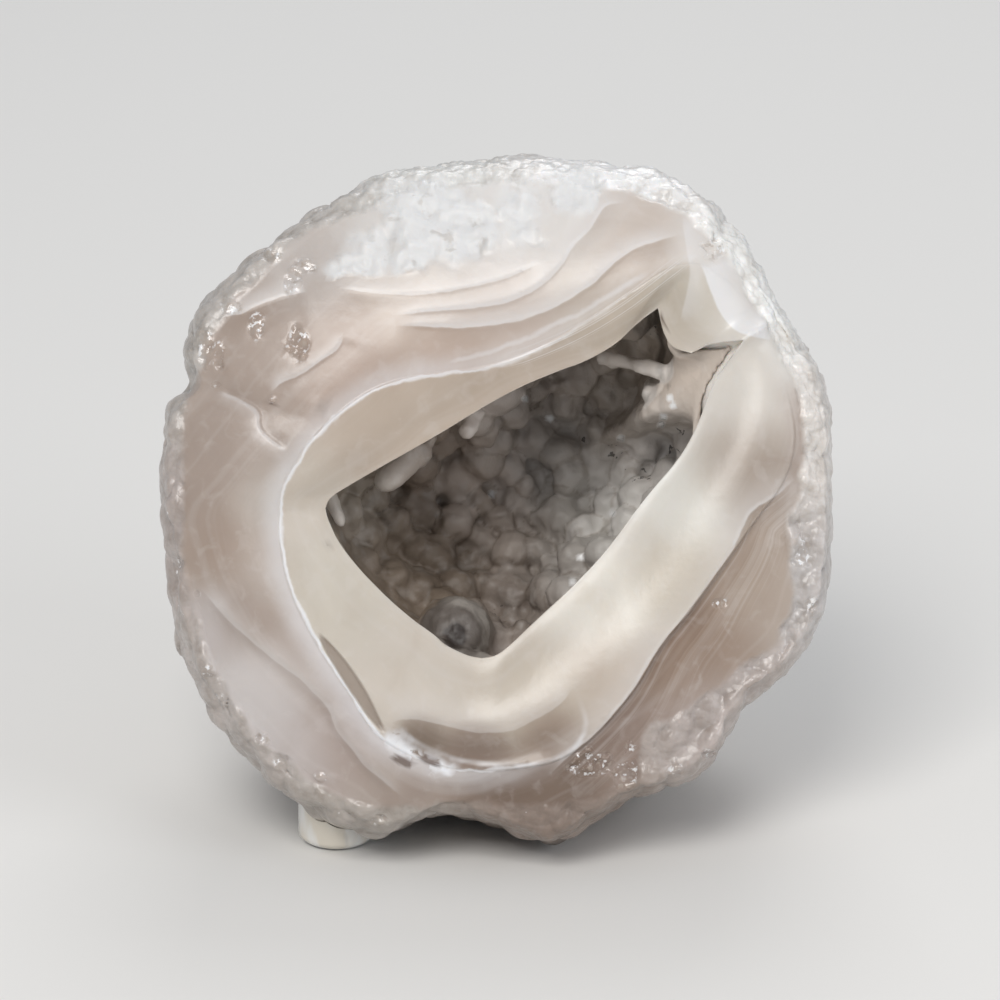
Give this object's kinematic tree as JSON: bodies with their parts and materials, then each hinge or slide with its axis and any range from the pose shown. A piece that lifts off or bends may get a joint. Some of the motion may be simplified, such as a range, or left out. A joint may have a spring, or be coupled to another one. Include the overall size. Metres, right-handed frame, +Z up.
{
  "type": "broken chalcedony geode",
  "caption": "Broken chalcedony geode with thick banded walls around a slanted mouth, a hollow lined with crystals, and a short cream peg that props its lower edge.",
  "frame": {"origin": "middle of the flat spot that the stone rests on, at the surface under it", "axes": "+Z up; the broken face with its mouth looks to -Y and leans back by 20 degrees; +X to the right as the face is seen"},
  "size_m": [0.0912, 0.0711, 0.0889],
  "materials": {
    "chalcedony": "waxy, banded, with a rough glassy skin",
    "crystal_crust": "translucent grey-brown crystals",
    "cream_peg": "glossy cream with grey streaks"
  },
  "bodies": {
    "root": {"chalcedony_stone": "chalcedony", "crystal_crust": "crystal_crust", "prop_peg": "cream_peg"}
  },
  "joints": []
}
